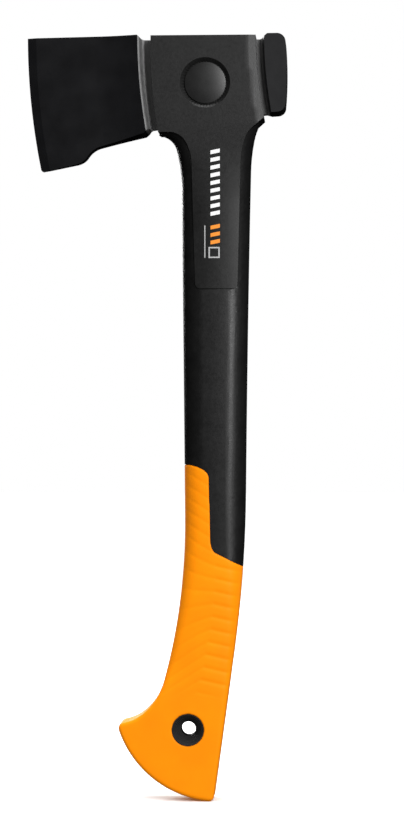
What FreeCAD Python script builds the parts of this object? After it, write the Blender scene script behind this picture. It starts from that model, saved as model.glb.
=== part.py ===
"""Felling axe: forged head with a slim waist, moulded collar and shaft, soft grip and hanging eyelet.

Own frame, millimetres: origin at the centre of the hanging hole, +Z up the handle, +X towards the poll,
-X towards the cutting edge, Y through the thickness. The axe is symmetric about the plane Y = 0.
"""
import FreeCAD, Part

import math
import os

import Sketcher

SIZES = {
    # Head, seen from the side. The cutting edge, the rear shoulder, both edges of the collar and the
    # front of the poll are arcs about one far centre, so the head's section is turned about it.
    "arc_centre_x": 295.6, "arc_centre_z": 403.7, "edge_radius": 390.1, "head_turn": 30,
    "edge_land_half": 0.1, "bevel_width": 5.2, "bevel_half": 2.25,
    "cheek_depth": 40.0, "cheek_half": 6.5, "shoulder_depth": 65.3, "shoulder_half": 13.75,
    "crest_depth": 66.1, "crest_half": 13.4, "neck_depth": 68.6, "neck_half": 4.4,
    "neck_end_depth": 136.0, "poll_depth": 138.6, "poll_front_half": 12.4, "poll_half": 13.2,
    "section_end_depth": 156.0,
    "blade_top_z": 402.6, "shoulder_top_x": -29.6, "neck_top_start_x": -27.2, "neck_top_z": 400.6,
    "neck_top_end_x": 43.0, "poll_top_x": 45.9, "poll_top_z": 403.1, "poll_top_end_x": 51.4,
    "poll_upper_x": 56.6, "poll_upper_z": 398.0, "poll_lower_x": 56.5, "poll_lower_z": 362.2,
    "poll_crown_radius": 220.0, "poll_foot_x": 52.0, "poll_foot_z": 357.7, "poll_heel_x": 44.6,
    "poll_heel_z": 357.2, "neck_foot_x": -22.8, "neck_foot_z": 348.4, "blade_rear_x": -25.8,
    "blade_rear_z": 345.7, "step_high_x": -51.5, "step_high_z": 338.6, "step_mid_x": -58.7,
    "step_mid_z": 333.3, "step_low_x": -65.2, "step_low_z": 328.7, "heel_x": -85.0, "heel_z": 324.4,
    "heel_edge_x": -86.9, "heel_edge_z": 326.6, "heel_corner_radius": 2.6, "outside_x": -110.0,
    # Collar round the waist, with a tongue down each side of the shaft.
    "collar_left_radius": 317.1, "collar_right_radius": 256.3, "collar_half": 14.5,
    "collar_bevel_radius": 261.0, "collar_bevel_half": 13.9, "saddle_section_radius": 345.0,
    "saddle_turn": 90, "collar_top_z": 402.0, "collar_top_left_x": -21.5, "collar_left_x": -17.15,
    "collar_left_z": 346.1,
    "tongue_root_left_x": -11.5, "tongue_mid_left_x": -1.2, "tongue_mid_left_z": 340.6,
    "tongue_left_x": 2.2, "tongue_left_z": 328.5, "tongue_foot_left_x": 4.1, "tongue_foot_side_z": 259.0,
    "tongue_foot_x": 7.2, "tongue_foot_z": 255.7, "tongue_foot_right_x": 25.6,
    "tongue_right_x": 28.75, "tongue_right_upper_x": 30.5, "tongue_right_upper_z": 328.0,
    "tongue_mid_right_x": 33.3, "tongue_mid_right_z": 342.8, "tongue_root_right_x": 39.0,
    "tongue_root_right_z": 350.0, "collar_right_x": 46.0, "collar_right_z": 356.2,
    "tongue_inner_half": 9.7, "groove_width": 0.7, "groove_depth": 1.0,
    # Locking set: cross pin, ribbed bezel rings and domed caps.
    "lock_x": 10.1, "lock_z": 374.6, "ring_radius": 14.9, "ring_lip_radius": 14.55,
    "ring_floor_radius": 12.3, "cap_radius": 11.85, "lock_floor": 11.3, "ring_floor": 12.2,
    "rib_height": 0.35, "rib_width": 0.8, "rib_count": 48, "cap_edge": 13.35, "cap_crown": 14.35,
    "cap_flat_radius": 1.0, "pin_radius": 8.0,
    # Handle, seen from the side: yoke, shaft, grip and hooked butt.
    "yoke_front_x": -17.3, "yoke_front_z": 345.5, "yoke_front_mid_x": -7.0, "yoke_front_mid_z": 336.5,
    "front_top_x": -4.1, "front_top_z": 313.8, "front_low_x": -2.2, "front_low_z": 122.0,
    "belly_x": -14.0, "belly_z": 28.5, "hook_x": -25.5, "hook_z": 10.0, "hook_tip_x": -37.5,
    "hook_tip_z": 4.2, "butt_front_x": -40.3, "butt_front_z": -0.6, "butt_back_x": 12.0,
    "butt_back_z": -41.4, "back_foot_x": 15.0, "back_foot_z": -39.0, "back_low_x": 26.5,
    "back_low_z": 44.5, "back_mid_x": 33.3, "back_mid_z": 137.6, "back_high_x": 36.2,
    "back_high_z": 324.3, "yoke_back_mid_x": 38.2, "yoke_back_mid_z": 342.5, "yoke_back_x": 43.8,
    "yoke_back_z": 355.6,
    "handle_half": 12.1, "taper_start_z": 235.0, "taper_radius": 2755.0, "taper_end_z": 420.0,
    "taper_end_half": 18.3, "handle_bottom_z": -60.0,
    "shaft_edge_round": 11.4, "butt_edge_round": 2.2, "round_start_z": 137.0, "round_end_z": 12.0,
    "handle_middle_x": 5.0,
    # Grip boundary on the shaft, grip thickness and the hollow inside.
    "grip_skin": 1.8, "shaft_wall": 2.8, "grip_top_front_x": -1.3, "grip_top_z": 153.7,
    "grip_top_x": 9.5, "grip_top_back_z": 150.4, "grip_side_x": 12.2, "grip_side_z": 145.6,
    "grip_low_side_x": 13.2, "grip_low_side_z": 109.0, "grip_step_x": 15.4, "grip_step_z": 103.0,
    "grip_back_x": 32.0, "grip_back_z": 94.5, "zone_left_x": -60.0, "zone_right_x": 60.0,
    "zone_right_z": 80.2, "zone_half": 25.0,
    "cavity_top_z": 336.0, "mouth_left_x": -10.0, "mouth_length": 20.0, "mouth_half": 5.5,
    "mouth_bottom_z": -50.0, "mouth_top_z": -28.0,
    # Eyelet round the hanging hole.
    "eyelet_radius": 9.2, "eyelet_lip_radius": 8.8, "eyelet_half": 12.3, "throat_radius": 4.2,
    "throat_half": 4.65,
}


class Size:
    """A length that knows its value and the sheet expression that gives it."""

    def __init__(self, value, text):
        self.value = float(value)
        self.text = text

    def __float__(self):
        return self.value

    def joined(self, other, sign, value):
        text = other.text if isinstance(other, Size) else str(other)
        return Size(value, f"({self.text} {sign} {text})")

    def __add__(self, other):
        return self.joined(other, "+", self.value + float(other))

    def __sub__(self, other):
        return self.joined(other, "-", self.value - float(other))

    def __mul__(self, other):
        return self.joined(other, "*", self.value * float(other))

    def __neg__(self):
        return Size(-self.value, f"(0 - {self.text})")


def size(alias):
    return Size(SIZES[alias], f"Sizes.{alias}")


def make_sheet(doc):
    sheet = doc.addObject("Spreadsheet::Sheet", "Sizes")
    for row, (alias, value) in enumerate(SIZES.items(), start=1):
        sheet.set(f"A{row}", alias.replace("_", " "))
        sheet.set(f"B{row}", str(value))
        sheet.setAlias(f"B{row}", alias)
    doc.recompute()
    return sheet


def bind(item, **sizes):
    for name, amount in sizes.items():
        item.setExpression(name, amount.text)


# Outlines: closed chains of lines and arcs through named points.

def arc_from(start, direction, end):
    """Centre, signed radius and final direction of the arc that leaves start along direction."""
    run = (end[0] - start[0], end[1] - start[1])
    turn = math.atan2(run[1], run[0]) - direction
    turn = math.atan2(math.sin(turn), math.cos(turn))
    radius = math.hypot(*run) / (2 * math.sin(turn))
    centre = (start[0] - radius * math.sin(direction), start[1] + radius * math.cos(direction))
    return centre, radius, direction + 2 * turn


def arc_with_radius(start, end, radius):
    """Centre of the short arc of a signed radius: positive turns left, negative turns right."""
    run = (end[0] - start[0], end[1] - start[1])
    chord = math.hypot(*run)
    lift = math.copysign(math.sqrt(radius ** 2 - chord ** 2 / 4), radius)
    middle = ((start[0] + end[0]) / 2, (start[1] + end[1]) / 2)
    return (middle[0] - lift * run[1] / chord, middle[1] + lift * run[0] / chord)


def solve_chain(points, edges):
    """Centre and signed radius of every arc; lines give None."""
    count = len(points)
    heading_in = [None] * count
    heading_out = [None] * count
    arcs = [None] * count

    def run(index):
        start, end = points[index], points[(index + 1) % count]
        return math.atan2(end[1] - start[1], end[0] - start[0])

    for index, kind in enumerate(edges):
        if kind == "line":
            heading_out[index] = heading_in[index] = run(index)
        elif isinstance(kind, Size):
            start, end = points[index], points[(index + 1) % count]
            centre = arc_with_radius(start, end, float(kind))
            arcs[index] = (centre, float(kind))
            quarter = math.copysign(math.pi / 2, float(kind))
            heading_in[index] = math.atan2(start[1] - centre[1], start[0] - centre[0]) + quarter
            heading_out[index] = math.atan2(end[1] - centre[1], end[0] - centre[0]) + quarter
    for index in range(count):
        if edges[index] == "leave":
            start, end = points[index], points[(index + 1) % count]
            centre, radius, heading = arc_from(start, heading_out[index - 1], end)
            arcs[index] = (centre, radius)
            heading_out[index] = heading
    for index in reversed(range(count)):
        if edges[index] == "arrive":
            start, end = points[index], points[(index + 1) % count]
            centre, radius, heading = arc_from(end, heading_in[(index + 1) % count] + math.pi, start)
            arcs[index] = (centre, -radius)
            heading_in[index] = heading + math.pi
    return arcs


def draw_chain(sketch, corners, edges):
    """Draw the chain in a sketch and pin every corner to its sizes.

    edges[i] joins corner i to the next: "line", "leave" (an arc tangent to the edge before it),
    "arrive" (an arc tangent to the edge after it) or a Size (an arc of that signed radius).
    """
    points = [(float(x), float(y)) for x, y in corners]
    arcs = solve_chain(points, edges)
    count = len(points)
    ends = []
    for index, arc in enumerate(arcs):
        start, end = points[index], points[(index + 1) % count]
        if arc is None:
            run = Part.LineSegment(FreeCAD.Vector(*start, 0), FreeCAD.Vector(*end, 0))
            number = sketch.addGeometry(run)
            ends.append((number, 1, 2))
            continue
        centre, radius = arc
        circle = Part.Circle(FreeCAD.Vector(*centre, 0), FreeCAD.Vector(0, 0, 1), abs(radius))
        first = math.atan2(start[1] - centre[1], start[0] - centre[0])
        last = math.atan2(end[1] - centre[1], end[0] - centre[0])
        if radius < 0:
            first, last = last, first
        if last < first:
            last += 2 * math.pi
        number = sketch.addGeometry(Part.ArcOfCircle(circle, first, last))
        ends.append((number, 1, 2) if radius > 0 else (number, 2, 1))
    for index, kind in enumerate(edges):
        number, head, tail = ends[index]
        before, _, before_tail = ends[index - 1]
        joint = "Tangent" if kind == "leave" or edges[index - 1] == "arrive" else "Coincident"
        sketch.addConstraint(Sketcher.Constraint(joint, before, before_tail, number, head))
        across, up = corners[index]
        for name, amount, axis in (("DistanceX", across, -2), ("DistanceY", up, -1)):
            if float(amount) == 0:
                sketch.addConstraint(Sketcher.Constraint("PointOnObject", number, head, axis))
                continue
            pin = sketch.addConstraint(Sketcher.Constraint(name, number, head, float(amount)))
            sketch.setExpression(f"Constraints[{pin}]", amount.text)
        if isinstance(kind, Size):
            reach = kind if float(kind) > 0 else -kind
            pin = sketch.addConstraint(Sketcher.Constraint("Radius", number, float(reach)))
            sketch.setExpression(f"Constraints[{pin}]", reach.text)


ZERO = Size(0, "0")
SIDE_VIEW = FreeCAD.Rotation(FreeCAD.Vector(1, 0, 0), 90)
END_VIEW = FreeCAD.Rotation(FreeCAD.Vector(1, 1, 1), 120)


def free_outline(doc, name, rotation, corners, edges):
    """A sketch on the side (X, Z) or end (Y, Z) plane."""
    sketch = doc.addObject("Sketcher::SketchObject", name)
    sketch.Placement = FreeCAD.Placement(FreeCAD.Vector(), rotation)
    draw_chain(sketch, corners, edges)
    doc.recompute()
    return sketch


def slab(doc, name, sketch, half, direction):
    """Solid of a flat outline, half to each side of its plane."""
    solid = doc.addObject("Part::Extrusion", name)
    solid.Base = sketch
    solid.DirMode = "Custom"
    solid.Dir = direction
    solid.Solid = True
    solid.Symmetric = True
    solid.setExpression("LengthFwd", (half * 2).text)
    return solid


def grown(doc, name, sketch, amount):
    """The outline moved outwards by amount, or inwards if it is negative."""
    outline = doc.addObject("Part::Offset2D", name)
    outline.Source = sketch
    outline.Value = float(amount)
    outline.Join = "Arc"
    outline.setExpression("Value", amount.text)
    return outline


def cut(doc, name, base, *tools):
    """base less every tool."""
    tool = tools[0]
    if len(tools) > 1:
        tool = doc.addObject("Part::MultiFuse", name + "_tools")
        tool.Shapes = list(tools)
    result = doc.addObject("Part::Cut", name)
    result.Base = base
    result.Tool = tool
    return result


def common(doc, name, *solids):
    result = doc.addObject("Part::MultiCommon", name)
    result.Shapes = list(solids)
    return result


def fused(doc, name, *solids):
    result = doc.addObject("Part::MultiFuse", name)
    result.Shapes = list(solids)
    return result


def turned_body(doc, name, centre_x, centre_z, corners, edges, turn=None, mirrored=False):
    """A body turned about the line through (centre_x, centre_z) along Y.

    Corners are (distance from that line along X, Y). mirrored doubles a half section about Y = 0.
    """
    body = doc.addObject("PartDesign::Body", name)
    floor = next(item for item in body.Origin.OriginFeatures if item.Role == "XY_Plane")
    side = next(item for item in body.Origin.OriginFeatures if item.Role == "XZ_Plane")
    sketch = body.newObject("Sketcher::SketchObject", name + "_section")
    sketch.AttachmentSupport = [(floor, "")]
    sketch.MapMode = "FlatFace"
    sketch.setExpression("AttachmentOffset.Base.x", centre_x.text)
    sketch.setExpression("AttachmentOffset.Base.z", centre_z.text)
    draw_chain(sketch, corners, edges)
    doc.recompute()
    turning = body.newObject("PartDesign::Revolution", name + "_turned")
    turning.Profile = sketch
    turning.ReferenceAxis = (sketch, ["V_Axis"])
    turning.Angle = 360
    if turn is not None:
        turning.Midplane = True
        turning.setExpression("Angle", turn.text)
    doc.recompute()
    if mirrored:
        mirror = body.newObject("PartDesign::Mirrored", name + "_both_halves")
        mirror.Originals = [turning]
        mirror.MirrorPlane = (side, [""])
        body.Tip = mirror
        doc.recompute()
    return body


def rod(doc, name, centre_x, centre_z, radius, half):
    """A cylinder along Y, half to each side of the middle plane."""
    cylinder = doc.addObject("Part::Cylinder", name)
    cylinder.Placement = FreeCAD.Placement(FreeCAD.Vector(), FreeCAD.Rotation(FreeCAD.Vector(1, 0, 0), -90))
    cylinder.setExpression("Placement.Base.x", centre_x.text)
    cylinder.setExpression("Placement.Base.y", (-half).text)
    cylinder.setExpression("Placement.Base.z", centre_z.text)
    bind(cylinder, Radius=radius, Height=half * 2)
    return cylinder


ALONG_X = FreeCAD.Vector(1, 0, 0)
ALONG_Y = FreeCAD.Vector(0, 1, 0)

# How squarely a wall and a side look along Y, from 0 to 1.
WALL_LOOK = 0.3
SIDE_LOOK = 0.9


def round_handle(doc, name, base, inset):
    """Round the long edges of a handle form that lies inset below the surface.

    The edges make one chain on each side: down the back, round the butt and up the front. Each edge
    takes its radius at the end where the chain comes in, then its radius at the end where it leaves.
    """
    doc.recompute()
    result = doc.addObject("Part::Fillet", name)
    result.Base = base
    chosen = []
    for number, edge in enumerate(base.Shape.Edges, start=1):
        if is_handle_rim(edge, base.Shape):
            low, high = sorted((edge.Vertexes[0].Z, edge.Vertexes[-1].Z))
            at_back = edge.CenterOfMass.x > SIZES["handle_middle_x"]
            first, last = (high, low) if at_back else (low, high)
            chosen.append((number, edge_round(first, inset), edge_round(last, inset)))
    result.Edges = chosen
    return result


def sideness(edge, solid):
    """How squarely the two faces beside an edge look along Y, smaller first."""
    middle = edge.valueAt((edge.FirstParameter + edge.LastParameter) / 2)
    looks = []
    for face in solid.ancestorsOfType(edge, Part.Face):
        looks.append(abs(face.normalAt(*face.Surface.parameter(middle)).y))
    return sorted(looks)


def is_rim(edge, solid):
    """An edge between the outline's wall and a side face."""
    looks = sideness(edge, solid)
    return looks[0] < WALL_LOOK and looks[-1] > SIDE_LOOK


# The pieces.

def head_outline(doc):
    outside = size("outside_x")
    corners = [
        (outside, size("blade_top_z")),
        (size("shoulder_top_x"), size("blade_top_z")),
        (size("neck_top_start_x"), size("neck_top_z")),
        (size("neck_top_end_x"), size("neck_top_z")),
        (size("poll_top_x"), size("poll_top_z")),
        (size("poll_top_end_x"), size("poll_top_z")),
        (size("poll_upper_x"), size("poll_upper_z")),
        (size("poll_lower_x"), size("poll_lower_z")),
        (size("poll_foot_x"), size("poll_foot_z")),
        (size("poll_heel_x"), size("poll_heel_z")),
        (size("neck_foot_x"), size("neck_foot_z")),
        (size("blade_rear_x"), size("blade_rear_z")),
        (size("step_high_x"), size("step_high_z")),
        (size("step_mid_x"), size("step_mid_z")),
        (size("step_low_x"), size("step_low_z")),
        (size("heel_x"), size("heel_z")),
        (size("heel_edge_x"), size("heel_edge_z")),
        (outside, size("heel_edge_z")),
    ]
    edges = ["line"] * len(corners)
    edges[5] = "leave"
    edges[6] = -size("poll_crown_radius")
    edges[7] = "arrive"
    edges[12] = "leave"
    edges[13] = "arrive"
    edges[15] = -size("heel_corner_radius")
    return free_outline(doc, "HeadOutline", SIDE_VIEW, corners, edges)


def make_head(doc):
    edge = size("edge_radius")
    half_section = [
        (-edge, ZERO),
        (-edge, size("edge_land_half")),
        (size("bevel_width") - edge, size("bevel_half")),
        (size("cheek_depth") - edge, size("cheek_half")),
        (size("shoulder_depth") - edge, size("shoulder_half")),
        (size("crest_depth") - edge, size("crest_half")),
        (size("neck_depth") - edge, size("neck_half")),
        (size("neck_end_depth") - edge, size("neck_half")),
        (size("poll_depth") - edge, size("poll_front_half")),
        (size("section_end_depth") - edge, size("poll_half")),
        (size("section_end_depth") - edge, ZERO),
    ]
    edges = ["line"] * len(half_section)
    edges[3] = "leave"
    section = turned_body(doc, "HeadSection", size("arc_centre_x"), size("arc_centre_z"), half_section,
                          edges, turn=size("head_turn"), mirrored=True)
    plan = slab(doc, "HeadPlan", head_outline(doc), size("zone_half"), ALONG_Y)
    forging = common(doc, "HeadForging", section, plan)
    hole = rod(doc, "HeadPinHole", size("lock_x"), size("lock_z"), size("pin_radius"), size("zone_half"))
    return cut(doc, "Head", forging, hole)


def saddle_outline(doc):
    corners = [
        (size("collar_top_left_x"), size("collar_top_z")),
        (size("collar_right_x"), size("collar_top_z")),
        (size("collar_right_x"), size("collar_right_z")),
        (size("tongue_root_right_x"), size("tongue_root_right_z")),
        (size("tongue_mid_right_x"), size("tongue_mid_right_z")),
        (size("tongue_right_upper_x"), size("tongue_right_upper_z")),
        (size("tongue_right_x"), size("tongue_foot_side_z")),
        (size("tongue_foot_right_x"), size("tongue_foot_z")),
        (size("tongue_foot_x"), size("tongue_foot_z")),
        (size("tongue_foot_left_x"), size("tongue_foot_side_z")),
        (size("tongue_left_x"), size("tongue_left_z")),
        (size("tongue_mid_left_x"), size("tongue_mid_left_z")),
        (size("tongue_root_left_x"), size("collar_left_z")),
        (size("collar_left_x"), size("collar_left_z")),
    ]
    edges = ["line"] * len(corners)
    edges[3] = "arrive"
    edges[4] = "arrive"
    edges[6] = "leave"
    edges[8] = "leave"
    edges[10] = "leave"
    edges[11] = "leave"
    edges[13] = -size("collar_left_radius")
    return free_outline(doc, "SaddleOutline", SIDE_VIEW, corners, edges)


def thickness_outline(doc):
    """End view of the handle: parallel sides that widen gently towards the head."""
    half = size("handle_half")
    wide = size("taper_end_half")
    corners = [
        (half, size("handle_bottom_z")),
        (half, size("taper_start_z")),
        (wide, size("taper_end_z")),
        (-wide, size("taper_end_z")),
        (-half, size("taper_start_z")),
        (-half, size("handle_bottom_z")),
    ]
    edges = ["line", -size("taper_radius"), "line", -size("taper_radius"), "line", "line"]
    return free_outline(doc, "ThicknessOutline", END_VIEW, corners, edges)


def handle_outline(doc):
    corners = [
        (size("yoke_front_x"), size("yoke_front_z")),
        (size("yoke_front_mid_x"), size("yoke_front_mid_z")),
        (size("front_top_x"), size("front_top_z")),
        (size("front_low_x"), size("front_low_z")),
        (size("belly_x"), size("belly_z")),
        (size("hook_x"), size("hook_z")),
        (size("hook_tip_x"), size("hook_tip_z")),
        (size("butt_front_x"), size("butt_front_z")),
        (size("butt_back_x"), size("butt_back_z")),
        (size("back_foot_x"), size("back_foot_z")),
        (size("back_low_x"), size("back_low_z")),
        (size("back_mid_x"), size("back_mid_z")),
        (size("back_high_x"), size("back_high_z")),
        (size("yoke_back_mid_x"), size("yoke_back_mid_z")),
        (size("yoke_back_x"), size("yoke_back_z")),
    ]
    edges = ["arrive", "arrive", "line", "leave", "leave", "leave", "leave", "leave", "leave", "line",
             "leave", "leave", "leave", "leave", "line"]
    return free_outline(doc, "HandleOutline", SIDE_VIEW, corners, edges)


def edge_round(height, inset):
    """Rounding of the handle's long edges at a height: full on the shaft, small round the butt."""
    big = SIZES["shaft_edge_round"] - inset
    small = SIZES["butt_edge_round"] - inset
    share = (height - SIZES["round_end_z"]) / (SIZES["round_start_z"] - SIZES["round_end_z"])
    return small + (big - small) * min(max(share, 0.0), 1.0)


def is_handle_rim(edge, solid):
    """A long edge of the handle, but not the one across the top of the yoke, inside the collar."""
    across_top = edge.BoundBox.XLength > SIZES["yoke_back_x"] and edge.BoundBox.ZMin > SIZES["front_top_z"]
    return is_rim(edge, solid) and not across_top


def make_handle_shapes(doc):
    """The handle's outer form, its core under the grip, its hollow and the region of the grip."""
    outline = handle_outline(doc)
    thickness = thickness_outline(doc)
    ends = slab(doc, "ThicknessSlab", thickness, size("outside_x") * -1, ALONG_X)
    plan = slab(doc, "HandlePlan", outline, size("zone_half"), ALONG_Y)
    blank = common(doc, "HandleBlank", plan, ends)
    envelope = round_handle(doc, "HandleEnvelope", blank, 0)

    skin = size("grip_skin")
    core_plan = grown(doc, "CoreOutline", outline, -skin)
    core_blank = slab(doc, "CoreBlank", core_plan, size("handle_half") - skin, ALONG_Y)
    core = round_handle(doc, "Core", core_blank, SIZES["grip_skin"])

    wall = skin + size("shaft_wall")
    cavity_plan = grown(doc, "CavityOutline", outline, -wall)
    cavity_slab = slab(doc, "CavitySlab", cavity_plan, size("handle_half") - wall, ALONG_Y)
    reach = doc.addObject("Part::Box", "CavityReach")
    bind(reach, Length=size("zone_right_x") - size("zone_left_x"), Width=size("zone_half") * 2,
         Height=size("cavity_top_z") - size("handle_bottom_z"))
    reach.setExpression("Placement.Base.x", size("zone_left_x").text)
    reach.setExpression("Placement.Base.y", (-size("zone_half")).text)
    reach.setExpression("Placement.Base.z", size("handle_bottom_z").text)
    cavity = common(doc, "Cavity", cavity_slab, reach)
    return outline, envelope, core, cavity, ends


def grip_zone(doc):
    corners = [
        (size("zone_left_x"), size("grip_top_z")),
        (size("grip_top_front_x"), size("grip_top_z")),
        (size("grip_top_x"), size("grip_top_back_z")),
        (size("grip_side_x"), size("grip_side_z")),
        (size("grip_low_side_x"), size("grip_low_side_z")),
        (size("grip_step_x"), size("grip_step_z")),
        (size("grip_back_x"), size("grip_back_z")),
        (size("zone_right_x"), size("zone_right_z")),
        (size("zone_right_x"), size("handle_bottom_z")),
        (size("zone_left_x"), size("handle_bottom_z")),
    ]
    edges = ["line", "leave", "arrive", "line", "leave", "line", "line", "line", "line", "line"]
    outline = free_outline(doc, "GripZoneOutline", SIDE_VIEW, corners, edges)
    return slab(doc, "GripZone", outline, size("zone_half"), ALONG_Y)


def make_saddle(doc, outline, handle_plan_outline, ends, head):
    half_section = [
        (-size("saddle_section_radius"), ZERO),
        (-size("saddle_section_radius"), size("collar_half")),
        (-size("collar_bevel_radius"), size("collar_half")),
        (-size("collar_right_radius"), size("collar_bevel_half")),
        (-size("collar_right_radius"), ZERO),
    ]
    section = turned_body(doc, "SaddleSection", size("arc_centre_x"), size("arc_centre_z"), half_section,
                          ["line"] * len(half_section), turn=size("saddle_turn"), mirrored=True)
    plan = slab(doc, "SaddlePlan", outline, size("zone_half"), ALONG_Y)
    blank = common(doc, "SaddleBlank", section, plan, ends)
    yoke = slab(doc, "SaddleYokeSpace", handle_plan_outline, size("tongue_inner_half"), ALONG_Y)
    floor = size("lock_floor")
    hole = rod(doc, "SaddlePinHole", size("lock_x"), size("lock_z"), size("pin_radius"), size("zone_half"))
    seats = rod(doc, "SaddleSeats", size("lock_x"), size("lock_z"), size("ring_radius"), size("zone_half"))
    between = rod(doc, "SaddleSeatFloor", size("lock_x"), size("lock_z"), size("zone_half"), floor)
    seats_only = cut(doc, "SaddleSeatPair", seats, between)
    return cut(doc, "Saddle", blank, yoke, head, hole, seats_only)


def make_lock_ring(doc):
    """Bezel of the front face, with a ribbed conical wall."""
    name = "RingFront"
    face = -size("collar_half")
    floor = -size("lock_floor")
    trough = -size("ring_floor")
    corners = [
        (size("cap_radius"), floor),
        (size("ring_radius"), floor),
        (size("ring_radius"), face),
        (size("ring_lip_radius"), face),
        (size("ring_floor_radius"), trough),
        (size("cap_radius"), trough),
    ]
    body = turned_body(doc, name, size("lock_x"), size("lock_z"), corners, ["line"] * len(corners))
    plane = next(item for item in body.Origin.OriginFeatures if item.Role == "XY_Plane")
    sketch = body.newObject("Sketcher::SketchObject", name + "_rib_section")
    sketch.AttachmentSupport = [(plane, "")]
    sketch.MapMode = "FlatFace"
    sketch.setExpression("AttachmentOffset.Base.x", size("lock_x").text)
    sketch.setExpression("AttachmentOffset.Base.z", size("lock_z").text)
    sunk = size("rib_height")
    rib = [
        (size("ring_lip_radius") + sunk, face + sunk),
        (size("ring_floor_radius") + sunk, trough + sunk),
        (size("ring_floor_radius") - sunk, trough),
        (size("ring_lip_radius") - sunk, face + sunk),
    ]
    draw_chain(sketch, rib, ["line"] * len(rib))
    doc.recompute()
    pad = body.newObject("PartDesign::Pad", name + "_rib")
    pad.Profile = sketch
    pad.Midplane = True
    pad.setExpression("Length", size("rib_width").text)
    doc.recompute()
    ribs = body.newObject("PartDesign::PolarPattern", name + "_ribs")
    ribs.Originals = [pad]
    ribs.Axis = (sketch, ["V_Axis"])
    ribs.Angle = 360
    ribs.setExpression("Occurrences", size("rib_count").text)
    body.Tip = ribs
    doc.recompute()
    return body


def make_lock_cap(doc):
    """Domed disc that fills the front ring, with a small flat at its middle."""
    corners = [
        (ZERO, -size("lock_floor")),
        (size("cap_radius"), -size("lock_floor")),
        (size("cap_radius"), -size("cap_edge")),
        (size("cap_flat_radius"), -size("cap_crown")),
        (ZERO, -size("cap_crown")),
    ]
    edges = ["line", "line", "arrive", "line", "line"]
    return turned_body(doc, "CapFront", size("lock_x"), size("lock_z"), corners, edges)


def far_twin(doc, name, piece):
    """The same piece on the other side of the middle plane."""
    twin = doc.addObject("Part::Mirroring", name)
    twin.Source = piece
    twin.Normal = ALONG_Y
    return twin


def make_eyelet(doc):
    """Double cone that flares from the throat to both faces."""
    corners = [
        (size("throat_radius"), -size("throat_half")),
        (size("eyelet_lip_radius"), -size("eyelet_half")),
        (size("eyelet_radius"), -size("eyelet_half")),
        (size("eyelet_radius"), size("eyelet_half")),
        (size("eyelet_lip_radius"), size("eyelet_half")),
        (size("throat_radius"), size("throat_half")),
    ]
    return turned_body(doc, "Eyelet", ZERO, ZERO, corners, ["line"] * len(corners))


def make_mouth(doc):
    """Opening in the butt of the shaft's core that the end plug fills."""
    mouth = doc.addObject("Part::Box", "Mouth")
    bind(mouth, Length=size("mouth_length"), Width=size("mouth_half") * 2,
         Height=size("mouth_top_z") - size("mouth_bottom_z"))
    mouth.setExpression("Placement.Base.x", size("mouth_left_x").text)
    mouth.setExpression("Placement.Base.y", (-size("mouth_half")).text)
    mouth.setExpression("Placement.Base.z", size("mouth_bottom_z").text)
    return mouth


def build(doc):
    """Every piece by its node name."""
    head = make_head(doc)
    outline, envelope, core, cavity, ends = make_handle_shapes(doc)
    plate_outline = saddle_outline(doc)
    saddle = make_saddle(doc, plate_outline, outline, ends, head)
    zone = grip_zone(doc)
    bore = rod(doc, "EyeletBore", ZERO, ZERO, size("eyelet_radius"), size("zone_half"))
    mouth = make_mouth(doc)

    wider = grown(doc, "GrooveOutline", plate_outline, size("groove_width"))
    groove_plan = slab(doc, "GroovePlan", wider, size("zone_half"), ALONG_Y)
    lower = grown(doc, "GrooveFloorOutline", ends.Base, -size("groove_depth"))
    groove_floor = slab(doc, "GrooveFloor", lower, -size("outside_x"), ALONG_X)
    groove = cut(doc, "Groove", groove_plan, groove_floor)

    upper = cut(doc, "ShaftUpper", envelope, zone)
    solid_shaft = fused(doc, "ShaftSolid", upper, core)
    shaft = cut(doc, "Shaft", solid_shaft, cavity, mouth, bore, saddle, groove)
    sleeve = common(doc, "GripSleeve", envelope, zone)
    grip = cut(doc, "Grip", sleeve, core, bore)
    plug = common(doc, "EndPlug", core, mouth)
    ring = make_lock_ring(doc)
    cap = make_lock_cap(doc)
    pin = rod(doc, "LockPin", size("lock_x"), size("lock_z"), size("pin_radius"), size("lock_floor"))
    return {
        "axe_head": head,
        "head_saddle": saddle,
        "lock_pin": pin,
        "lock_ring_front": ring,
        "lock_ring_back": far_twin(doc, "RingBack", ring),
        "lock_cap_front": cap,
        "lock_cap_back": far_twin(doc, "CapBack", cap),
        "shaft": shaft,
        "shaft_end_plug": plug,
        "grip": grip,
        "hang_eyelet": make_eyelet(doc),
    }


def main():
    os.makedirs("parts", exist_ok=True)
    doc = FreeCAD.newDocument("FellingAxe")
    make_sheet(doc)
    pieces = build(doc)
    doc.recompute()
    for item in doc.Objects:
        if "Invalid" in item.State or "Error" in item.State:
            raise RuntimeError(f"{item.Name} failed: {item.State}")
    for node, piece in pieces.items():
        piece.Label = node
        shape = piece.Shape
        if shape.isNull() or not shape.isValid() or len(shape.Solids) != 1:
            raise RuntimeError(f"{node} is not one valid solid")
    for node, piece in pieces.items():
        piece.Shape.exportStep(f"parts/{node}.step")
        box = piece.Shape.BoundBox
        print(f"{node}: {piece.Shape.Volume:.0f} mm3, X {box.XMin:.1f} to {box.XMax:.1f}, "
              f"Y {box.YMin:.1f} to {box.YMax:.1f}, Z {box.ZMin:.1f} to {box.ZMax:.1f}")


main()
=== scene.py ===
import math

import bmesh
import bpy
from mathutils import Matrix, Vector
from mathutils.bvhtree import BVHTree


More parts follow.
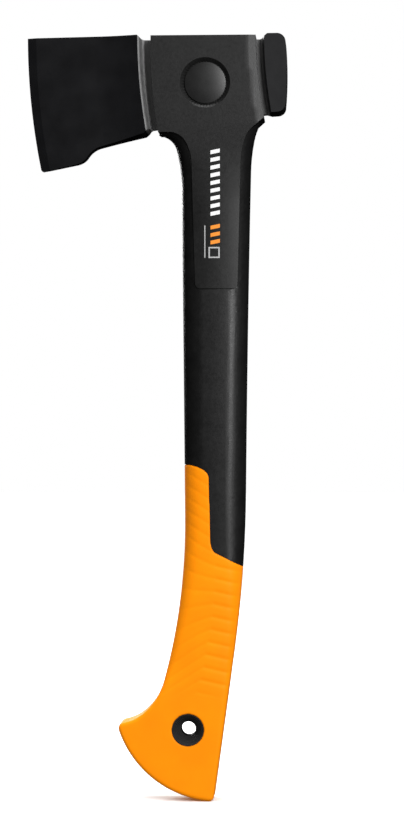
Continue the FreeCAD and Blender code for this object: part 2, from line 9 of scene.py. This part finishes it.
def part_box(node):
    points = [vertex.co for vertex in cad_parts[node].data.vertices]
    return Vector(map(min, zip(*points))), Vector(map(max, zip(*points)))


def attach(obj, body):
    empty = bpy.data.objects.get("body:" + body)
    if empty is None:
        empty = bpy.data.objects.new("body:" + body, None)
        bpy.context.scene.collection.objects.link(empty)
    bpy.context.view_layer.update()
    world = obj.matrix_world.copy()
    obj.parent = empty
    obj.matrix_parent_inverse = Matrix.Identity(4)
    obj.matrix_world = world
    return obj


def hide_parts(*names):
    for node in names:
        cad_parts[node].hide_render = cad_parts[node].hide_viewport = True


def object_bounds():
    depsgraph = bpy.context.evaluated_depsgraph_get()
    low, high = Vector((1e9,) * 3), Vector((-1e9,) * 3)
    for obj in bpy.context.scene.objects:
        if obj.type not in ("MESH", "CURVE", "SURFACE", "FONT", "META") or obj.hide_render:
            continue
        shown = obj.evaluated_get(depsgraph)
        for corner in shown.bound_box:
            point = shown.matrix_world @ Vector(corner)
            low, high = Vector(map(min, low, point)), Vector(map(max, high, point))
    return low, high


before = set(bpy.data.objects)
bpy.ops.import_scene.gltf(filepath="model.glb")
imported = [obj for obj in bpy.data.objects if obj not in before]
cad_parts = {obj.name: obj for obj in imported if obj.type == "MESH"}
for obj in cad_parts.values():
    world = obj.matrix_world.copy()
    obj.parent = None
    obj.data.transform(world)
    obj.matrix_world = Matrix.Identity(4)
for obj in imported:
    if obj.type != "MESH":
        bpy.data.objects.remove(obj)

MM = 0.001
CAD_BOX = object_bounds()

# The camera stands in front of the axe and a little towards the poll.
CAMERA_DISTANCE = 1.5
CAMERA_YAW = math.radians(3.0)
AIM_TO_POLL = 26.2 * MM
AIM_UP = 0.4 * MM
FOCAL_LENGTH = 111.0
SENSOR_LONG_SIDE = 36.0

# The floor reaches this far to each side.
FLOOR_HALF = 6.0

# The head is turned about an axis parallel to Y through this point.
SWING_X = 295.6 * MM
SWING_Z = 403.7 * MM

# Distances from that axis at which the ground shoulder, the neck and the poll begin.
SHOULDER_RADIUS = 324.9 * MM
NECK_RADIUS = 321.4 * MM
POLL_RADIUS = 253.0 * MM

# The handle's side faces are crowned between these levels, about its middle line. They sink by CROWN,
# and the line moves to the front by BEND, per metre squared of distance.
CROWN = 5.0
CROWN_BUTT_Z = (14 * MM, 40 * MM)
CROWN_COLLAR_Z = (296 * MM, 345 * MM)
HANDLE_HALF = 12.1 * MM
MIDDLE_X = 16.5 * MM
BEND_Z = 105 * MM
BEND = 1.6

# Edges sharper than this stay crisp in a reshaped piece.
SHARP_FROM = math.radians(27)
MERGE_WITHIN = 0.001 * MM
CUT_PITCH_X = 3 * MM
CUT_PITCH_Z = 12 * MM

# The printed strip on the tongue, in millimetres.
STRIP_X = (13.2, 18.6)
BAR_SHARE = 0.5
BAR_SLANT = 1.1
PATCH_STEPS = 4
INK_PROUD = 0.04 * MM

# The ribs moulded into the rubber, either side of a ridge along the grip.
RIB_PITCH = 7.3 * MM
RIB_BUTT_Z = (16 * MM, 28 * MM)
RIB_TOP_Z = (150 * MM, 172 * MM)
RIB_SLANT_Z = (30 * MM, 120 * MM)
RIB_DEPTH_BACK = 0.40 * MM
RIB_DEPTH_FRONT = 0.22 * MM
RIB_SLANT_BACK = 0.22
RIB_SLANT_FRONT_LOW = -0.75
RIB_SLANT_FRONT_RISE = 1.35
GRIP_VOXEL = 0.7 * MM
GRIP_SMOOTHING = 4


class Shade:
    """A principled material, with short names for the nodes that feed it."""

    def __init__(self, name):
        self.material = bpy.data.materials.new(name)
        self.material.use_nodes = True
        self.tree = self.material.node_tree
        self.surface = self.tree.nodes["Principled BSDF"]
        self.place = self.node("ShaderNodeTexCoord").outputs["Object"]

    def node(self, kind, **settings):
        made = self.tree.nodes.new(kind)
        for key, value in settings.items():
            setattr(made, key, value)
        return made

    def feed(self, socket, value):
        if isinstance(value, bpy.types.NodeSocket):
            self.tree.links.new(value, socket)
        else:
            socket.default_value = value

    def set(self, **values):
        """Fixed numbers and colours on the shader's own sockets."""
        for key, value in values.items():
            self.surface.inputs[key.replace("_", " ")].default_value = value

    def stretched(self, x, y, z):
        """The piece's own coordinates, scaled along each axis."""
        made = self.node("ShaderNodeMapping")
        self.feed(made.inputs["Vector"], self.place)
        made.inputs["Scale"].default_value = (x, y, z)
        return made.outputs["Vector"]

    def noise(self, size, detail=2.0, roughness=0.5, place=None):
        """Soft noise between 0 and 1 whose grains are about size metres."""
        made = self.node("ShaderNodeTexNoise")
        self.feed(made.inputs["Vector"], place or self.place)
        made.inputs["Scale"].default_value = 1 / size
        made.inputs["Detail"].default_value = detail
        made.inputs["Roughness"].default_value = roughness
        return made.outputs["Fac"]

    def cells(self, size):
        """Distance to the nearest cell centre, in cells of about size metres."""
        made = self.node("ShaderNodeTexVoronoi")
        self.feed(made.inputs["Vector"], self.place)
        made.inputs["Scale"].default_value = 1 / size
        return made.outputs["Distance"]

    def math(self, operation, a, b=0.0):
        made = self.node("ShaderNodeMath", operation=operation)
        self.feed(made.inputs[0], a)
        self.feed(made.inputs[1], b)
        return made.outputs[0]

    def between(self, value, low, high, out_low=0.0, out_high=1.0):
        """value from low to high, as out_low to out_high, held at the ends."""
        made = self.node("ShaderNodeMapRange")
        self.feed(made.inputs["Value"], value)
        made.inputs["From Min"].default_value = low
        made.inputs["From Max"].default_value = high
        made.inputs["To Min"].default_value = out_low
        made.inputs["To Max"].default_value = out_high
        return made.outputs["Result"]

    def blend(self, share, first, second):
        """first where share is 0, second where it is 1."""
        made = self.node("ShaderNodeMix", data_type="RGBA")
        self.feed(made.inputs[0], share)
        self.feed(made.inputs[6], first)
        self.feed(made.inputs[7], second)
        return made.outputs[2]

    def axis(self, name):
        """One coordinate of the piece's own place."""
        made = self.node("ShaderNodeSeparateXYZ")
        self.feed(made.inputs[0], self.place)
        return made.outputs[name]

    def bump(self, height, depth, under=None):
        """A bump of depth metres from a height between 0 and 1, over another bump."""
        made = self.node("ShaderNodeBump")
        made.inputs["Distance"].default_value = depth
        self.feed(made.inputs["Height"], height)
        if under:
            self.feed(made.inputs["Normal"], under)
        return made.outputs["Normal"]

    def colour(self, value):
        self.feed(self.surface.inputs["Base Color"], value)

    def roughness(self, value):
        self.feed(self.surface.inputs["Roughness"], value)

    def normal(self, value):
        self.feed(self.surface.inputs["Normal"], value)


def grey(level, blue=1.0):
    return (level, level, level * blue, 1.0)


def arc_distance(shade):
    """Distance from the swing axis of the head, in metres."""
    across = shade.math("SUBTRACT", shade.axis("X"), SWING_X)
    up = shade.math("SUBTRACT", shade.axis("Z"), SWING_Z)
    squares = shade.math("ADD", shade.math("MULTIPLY", across, across), shade.math("MULTIPLY", up, up))
    return shade.math("SQRT", squares)


def forged_black():
    """Satin black low-friction coating, ground bare on the rear shoulder; the shoulder's steel and the
    neck are painted lighter as painted light in the collar's shadow, with a painted highlight line at
    the shoulder's foot.
    """
    shade = Shade("forged_black")
    mottling = shade.noise(14 * MM, detail=4.0)
    speckle = shade.noise(0.5 * MM)
    reach = arc_distance(shade)
    marks = shade.node("ShaderNodeTexNoise", noise_dimensions="1D")
    shade.feed(marks.inputs["W"], reach)
    marks.inputs["Scale"].default_value = 1 / (0.35 * MM)
    marks.inputs["Detail"].default_value = 3.0
    scratches = shade.noise(1.6 * MM, detail=4.0, place=shade.stretched(4.0, 4.0, 0.3))
    coat = shade.blend(shade.between(mottling, 0.3, 0.7), grey(0.0045, 1.15), grey(0.0065, 1.15))
    streaks = shade.between(shade.math("ADD", marks.outputs["Fac"], scratches), 0.75, 1.25)
    # Ground steel of the shoulder, with streaks, painted lighter than bare steel: painted light on the
    # slope that the collar's shadow covers.
    ground_steel_painted_lighter = shade.blend(streaks, grey(0.03), grey(0.16))
    # A painted highlight: at the foot of the shoulder the ground steel turns much lighter, into a
    # bright line.
    painted_highlight_steel = shade.blend(streaks, grey(0.22), grey(0.60))
    foot = shade.between(reach, NECK_RADIUS + 1.4 * MM, NECK_RADIUS + 0.5 * MM)
    steel = shade.blend(foot, ground_steel_painted_lighter, painted_highlight_steel)
    # The neck, painted lighter than the coating as painted light, standing in for the light that the
    # collar's shadow keeps off it.
    thin = shade.blend(streaks, grey(0.09), grey(0.13))
    on_shoulder = shade.between(reach, SHOULDER_RADIUS, SHOULDER_RADIUS - 0.2 * MM)
    on_neck = shade.between(reach, NECK_RADIUS + 0.2 * MM, NECK_RADIUS)
    on_poll = shade.between(reach, POLL_RADIUS, POLL_RADIUS - 0.5 * MM)
    behind = shade.blend(on_neck, steel, thin)
    # The head's colour: the coating, with the painted-light shoulder and neck behind it.
    coat_steel_and_painted_light = shade.blend(on_shoulder, coat, behind)
    poll = shade.blend(mottling, grey(0.006, 1.1), grey(0.010, 1.1))
    shade.colour(shade.blend(on_poll, coat_steel_and_painted_light, poll))
    shade.roughness(shade.between(shade.math("ADD", mottling, speckle), 0.6, 1.4, 0.34, 0.44))
    ground = shade.bump(marks.outputs["Fac"], 0.006 * MM)
    shade.normal(shade.bump(speckle, 0.012 * MM, ground))
    shade.set(Specular_IOR_Level=0.35)
    return shade.material


def composite():
    """Fine-grained glass-fibre plastic with a spark-eroded mould texture."""
    shade = Shade("composite_black")
    grain = shade.noise(0.35 * MM, detail=3.0)
    pits = shade.cells(0.6 * MM)
    flow = shade.noise(9 * MM, detail=3.0)
    shade.colour(shade.blend(shade.between(flow, 0.3, 0.7), grey(0.0045), grey(0.0070)))
    blotches = shade.noise(1.8 * MM, detail=3.0)
    shade.roughness(shade.between(shade.math("ADD", grain, blotches), 0.7, 1.3, 0.35, 0.47))
    shade.normal(shade.bump(pits, 0.012 * MM, shade.bump(grain, 0.02 * MM)))
    shade.set(Specular_IOR_Level=0.45)
    return shade.material


def lock_plastic():
    """Smooth dark plastic of the locking discs."""
    shade = Shade("lock_plastic")
    grain = shade.noise(0.3 * MM, detail=3.0)
    flow = shade.noise(5 * MM)
    shade.colour(shade.blend(shade.between(flow, 0.3, 0.7), grey(0.006), grey(0.009)))
    shade.roughness(shade.between(grain, 0.3, 0.7, 0.34, 0.44))
    shade.normal(shade.bump(grain, 0.008 * MM))
    return shade.material


def brushed_steel():
    """Bright steel of the pin, turned to size."""
    shade = Shade("brushed_steel")
    lines = shade.noise(0.15 * MM, detail=4.0, place=shade.stretched(1.0, 0.03, 1.0))
    shade.colour(shade.blend(lines, grey(0.42), grey(0.6)))
    shade.roughness(shade.between(lines, 0.3, 0.7, 0.25, 0.42))
    shade.normal(shade.bump(lines, 0.01 * MM))
    shade.set(Metallic=1.0)
    return shade.material


def soft_rubber():
    """Orange soft-touch rubber: fine matt grain, its tone varying a little at random."""
    shade = Shade("soft_orange_rubber")
    grain = shade.noise(0.3 * MM, detail=3.0)
    flow = shade.noise(16 * MM, detail=2.0)
    deep = (0.86, 0.238, 0.0006, 1)
    bright = (0.92, 0.262, 0.0006, 1)
    shade.colour(shade.blend(shade.between(flow, 0.3, 0.7), deep, bright))
    shade.roughness(shade.between(grain, 0.3, 0.7, 0.46, 0.60))
    shade.normal(shade.bump(grain, 0.015 * MM))
    shade.set(Specular_IOR_Level=0.08)
    return shade.material


def eyelet_gloss():
    """Glossy black plastic with the fine lines that turning leaves round the hole."""
    shade = Shade("eyelet_gloss")
    lines = shade.node("ShaderNodeTexWave", wave_type="RINGS", rings_direction="Y")
    shade.feed(lines.inputs["Vector"], shade.place)
    lines.inputs["Scale"].default_value = 1 / (2.6 * MM)
    lines.inputs["Distortion"].default_value = 1.5
    lines.inputs["Detail"].default_value = 2.0
    shade.colour(shade.blend(shade.noise(2 * MM), grey(0.016), grey(0.026)))
    shade.roughness(shade.between(lines.outputs["Fac"], 0.0, 1.0, 0.2, 0.32))
    shade.normal(shade.bump(lines.outputs["Fac"], 0.02 * MM))
    return shade.material


def print_ink(name, colour, faded):
    """Flat printed ink, slightly thinner in places."""
    shade = Shade(name)
    thin = shade.between(shade.noise(0.7 * MM, detail=3.0), 0.35, 0.65)
    shade.colour(shade.blend(thin, colour, faded))
    shade.roughness(shade.between(shade.noise(0.3 * MM), 0.3, 0.7, 0.4, 0.55))
    return shade.material


def pale_floor():
    """Plain pale paper."""
    shade = Shade("pale_floor")
    shade.colour(shade.blend(shade.noise(60 * MM, detail=3.0), grey(0.88), grey(0.92)))
    shade.roughness(shade.between(shade.noise(4 * MM), 0.3, 0.7, 0.8, 0.9))
    return shade.material


def dress(node, material):
    """Gives a CAD node a finished material."""
    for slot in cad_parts[node].material_slots:
        slot.material = material


def ramp(value, low, high):
    """0 below low, 1 above high, with a soft start and end."""
    share = min(max((value - low) / (high - low), 0.0), 1.0)
    return share * share * (3 - 2 * share)


def middle(z):
    """The X of the handle's middle line at a level: straight, then bending to the front."""
    below = max(BEND_Z - z, 0.0)
    return MIDDLE_X - BEND * below * below


def crowned(place):
    """Thins the handle towards its front and back edges, so its side faces bulge."""
    share = ramp(place.z, *CROWN_BUTT_Z) * (1 - ramp(place.z, *CROWN_COLLAR_Z))
    off = place.x - middle(place.z)
    return Vector((place.x, place.y * (1 - share * CROWN * off * off / HANDLE_HALF), place.z))


def cut_lines(shape, low, high):
    """Cuts the mesh along evenly spaced planes across X and across Z."""
    for axis, step in ((0, CUT_PITCH_X), (2, CUT_PITCH_Z)):
        normal = Vector((0, 0, 0))
        normal[axis] = 1
        count = int((high[axis] - low[axis]) / step)
        for index in range(1, count + 1):
            point = low.copy()
            point[axis] = low[axis] + index * step
            everything = shape.verts[:] + shape.edges[:] + shape.faces[:]
            bmesh.ops.bisect_plane(shape, geom=everything, plane_co=point, plane_no=normal)


def reshaped_copy(node, name, move, low, high):
    """The node's mesh, cut finely between two corners, with every point moved."""
    shape = bmesh.new()
    shape.from_mesh(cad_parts[node].data)
    bmesh.ops.remove_doubles(shape, verts=shape.verts, dist=MERGE_WITHIN)
    cut_lines(shape, low, high)
    for point in shape.verts:
        point.co = move(point.co)
    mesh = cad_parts[node].data.copy()
    shape.to_mesh(mesh)
    shape.free()
    for layer in [made for made in mesh.attributes if made.name == "custom_normal"]:
        mesh.attributes.remove(layer)
    for face in mesh.polygons:
        face.use_smooth = True
    mesh.set_sharp_from_angle(angle=SHARP_FROM)
    made = link(name, mesh)
    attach(made, "root")
    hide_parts(node)
    return made


def link(name, mesh):
    made = bpy.data.objects.new(name, mesh)
    bpy.context.scene.collection.objects.link(made)
    return made


def remeshed_copy(node, name, voxel, rounds):
    """The node's shape as an even fine mesh, its edges rounded by a few smoothing rounds."""
    made = link(name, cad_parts[node].data.copy())
    remesh = made.modifiers.new("even", "REMESH")
    remesh.mode = "VOXEL"
    remesh.voxel_size = voxel
    smooth = made.modifiers.new("round", "SMOOTH")
    smooth.factor = 0.5
    smooth.iterations = rounds
    shaped = bpy.data.meshes.new_from_object(made.evaluated_get(bpy.context.evaluated_depsgraph_get()))
    made.modifiers.clear()
    made.data = shaped
    for face in shaped.polygons:
        face.use_smooth = True
    return made


def rib_valley(x, z):
    """How deep the rubber is sunk at a place on its side face: nothing on a crest, most in a valley."""
    off = x - middle(z)
    if off > 0:
        slant, depth = RIB_SLANT_BACK, RIB_DEPTH_BACK
    else:
        slant = RIB_SLANT_FRONT_LOW + RIB_SLANT_FRONT_RISE * ramp(z, *RIB_SLANT_Z)
        depth = RIB_DEPTH_FRONT
    crest = abs(math.sin(math.pi * (z + slant * off) / RIB_PITCH))
    shown = ramp(z, *RIB_BUTT_Z) * (1 - ramp(z, *RIB_TOP_Z))
    return depth * shown * (1 - crest) ** 2


def ribbed(point):
    """Where a point of the rubber goes: crowned, and sunk in the valleys between the ribs."""
    place = crowned(point.co)
    squareness = abs(point.normal.y)
    if point.normal.y * place.y > 0:
        sink = rib_valley(place.x, place.z) * squareness
        place.y -= math.copysign(sink, place.y)
    return place


def make_grip():
    """The soft grip, with its ribs."""
    grip = remeshed_copy("grip", "grip_rubber", GRIP_VOXEL, GRIP_SMOOTHING)
    for point, place in [(point, ribbed(point)) for point in grip.data.vertices]:
        point.co = place
    grip.data.materials.clear()
    grip.data.materials.append(soft_rubber())
    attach(grip, "root")
    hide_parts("grip")


def make_shell(node, name, material):
    """A crowned copy of a part of the handle."""
    low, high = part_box(node)
    low = Vector((low.x, low.y, max(low.z, CROWN_BUTT_Z[0])))
    high = Vector((high.x, high.y, min(high.z, CROWN_COLLAR_Z[1])))
    made = reshaped_copy(node, name, crowned, low, high)
    made.data.materials.clear()
    made.data.materials.append(material)
    return made


def ink_point(shape, tree, patch, across, up):
    """A mesh point just off the surface, at a step across and up a patch."""
    bottom = patch[0].lerp(patch[1], across / PATCH_STEPS)
    top = patch[3].lerp(patch[2], across / PATCH_STEPS)
    place = bottom.lerp(top, up / PATCH_STEPS)
    hit = tree.ray_cast(Vector((place.x, -1, place.y)), Vector((0, 1, 0)))[0]
    return shape.verts.new(hit - Vector((0, INK_PROUD, 0)))


def stamped(name, patches, surface, material):
    """Thin closed plates of ink on a surface's front, one for each patch of four (X, Z) corners."""
    tree = BVHTree.FromObject(surface, bpy.context.evaluated_depsgraph_get())
    shape = bmesh.new()
    for patch in patches:
        steps = range(PATCH_STEPS + 1)
        rows = [[ink_point(shape, tree, patch, across, up) for across in steps] for up in steps]
        faces = []
        for low_row, high_row in zip(rows, rows[1:]):
            for index in range(PATCH_STEPS):
                corners = (low_row[index], low_row[index + 1], high_row[index + 1], high_row[index])
                faces.append(shape.faces.new(corners))
        deep = bmesh.ops.extrude_face_region(shape, geom=faces, use_keep_orig=True)["geom"]
        sunk = [made for made in deep if isinstance(made, bmesh.types.BMVert)]
        bmesh.ops.translate(shape, verts=sunk, vec=Vector((0, 2 * INK_PROUD, 0)))
    bmesh.ops.recalc_face_normals(shape, faces=shape.faces)
    mesh = bpy.data.meshes.new(name)
    shape.to_mesh(mesh)
    shape.free()
    mesh.materials.append(material)
    made = link(name, mesh)
    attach(made, "root")


def block(low_x, high_x, low_z, high_z, slant=0.0):
    """The corners of a patch, its right side raised by slant; all in millimetres."""
    corners = ((low_x, low_z), (high_x, low_z + slant), (high_x, high_z + slant), (low_x, high_z))
    return [Vector(corner) * MM for corner in corners]


def bars(top, bottom, count):
    """Slanted hatch bars down the printed strip."""
    pitch = (top - bottom) / count
    feet = [bottom + index * pitch for index in range(count)]
    return [block(*STRIP_X, foot, foot + BAR_SHARE * pitch, BAR_SLANT) for foot in feet]


def make_prints(tongue):
    """A plain hatched strip, a small frame and a fine line, printed along the tongue."""
    white = print_ink("print_white", grey(0.80), grey(0.68))
    orange = print_ink("print_orange", (0.85, 0.27, 0.015, 1), (0.72, 0.22, 0.012, 1))
    stamped("print_bars_white", bars(337.5, 297.5, 9), tongue, white)
    stamped("print_bars_orange", bars(294.0, 281.0, 3), tongue, orange)
    frame_sides = [
        block(12.0, 18.5, 278.8, 279.6), block(12.0, 18.5, 273.2, 274.0),
        block(12.0, 12.8, 274.0, 278.8), block(17.7, 18.5, 274.0, 278.8),
        block(9.6, 10.2, 273.4, 292.0),
    ]
    stamped("print_frame", frame_sides, tongue, print_ink("print_grey", grey(0.42), grey(0.34)))


def make_floor():
    """A wide pale sheet under the butt, which neither mirrors in the axe nor lights it."""
    low = CAD_BOX[0].z
    mesh = bpy.data.meshes.new("floor")
    grid = bmesh.new()
    bmesh.ops.create_grid(grid, x_segments=8, y_segments=8, size=FLOOR_HALF)
    bmesh.ops.translate(grid, verts=grid.verts, vec=Vector((0, 0, low)))
    grid.to_mesh(mesh)
    grid.free()
    floor = link("floor", mesh)
    mesh.materials.append(pale_floor())
    floor.visible_glossy = False
    floor.visible_diffuse = False


def aim(thing, target):
    thing.rotation_euler = (target - thing.location).to_track_quat("-Z", "Y").to_euler()


def soft_box(name, place, target, width, height, power):
    """A rectangular soft light."""
    lamp = bpy.data.lights.new(name, "AREA")
    lamp.shape = "RECTANGLE"
    lamp.size = width
    lamp.size_y = height
    lamp.energy = power
    made = link(name, lamp)
    made.location = place
    aim(made, target)
    return made


def make_lights(centre):
    """A key from the right, a weak fill from the left, one behind, and wide light from above."""
    soft_box("key", centre + Vector((0.75, -1.25, 0.55)), centre, 0.5, 1.0, 26)
    fill = soft_box("fill", centre + Vector((-1.1, -1.2, 0.2)), centre, 0.8, 1.2, 3)
    fill.visible_glossy = False
    soft_box("rear", centre + Vector((-0.65, 1.3, 0.7)), centre, 0.6, 1.0, 26)
    above = bpy.data.lights.new("above", "SUN")
    above.energy = 3.0
    above.angle = math.radians(50)
    link("above", above)


def make_world():
    """White where the camera sees it, dim where the axe is lit by it."""
    world = bpy.data.worlds.new("studio")
    bpy.context.scene.world = world
    world.use_nodes = True
    tree = world.node_tree
    paint = tree.nodes["Background"]
    path = tree.nodes.new("ShaderNodeLightPath")
    level = tree.nodes.new("ShaderNodeMapRange")
    level.inputs["To Min"].default_value = 0.35
    level.inputs["To Max"].default_value = 1.0
    tree.links.new(path.outputs["Is Camera Ray"], level.inputs["Value"])
    tree.links.new(level.outputs["Result"], paint.inputs["Strength"])
    paint.inputs["Color"].default_value = grey(1.0)
    world.cycles_visibility.glossy = False


def make_camera(centre):
    """Level, square to the axe's side but for a small turn towards the poll."""
    target = centre + Vector((AIM_TO_POLL, 0, AIM_UP))
    lens = bpy.data.cameras.new("camera")
    lens.sensor_width = SENSOR_LONG_SIDE
    lens.lens = FOCAL_LENGTH
    camera = link("camera", lens)
    away = Vector((math.sin(CAMERA_YAW), -math.cos(CAMERA_YAW), 0))
    camera.location = target + away * CAMERA_DISTANCE
    aim(camera, target)
    bpy.context.scene.camera = camera


def main():
    centre = (CAD_BOX[0] + CAD_BOX[1]) / 2
    bpy.context.scene.view_settings.view_transform = "Standard"
    dress("axe_head", forged_black())
    black = composite()
    tongue = make_shell("head_saddle", "saddle_shell", black)
    make_shell("shaft", "shaft_shell", black)
    dress("shaft_end_plug", black)
    lock = lock_plastic()
    for side in ("front", "back"):
        dress("lock_ring_" + side, lock)
        dress("lock_cap_" + side, lock)
    dress("lock_pin", brushed_steel())
    dress("hang_eyelet", eyelet_gloss())
    make_grip()
    make_prints(tongue)
    make_floor()
    make_lights(centre)
    make_world()
    make_camera(centre)


main()
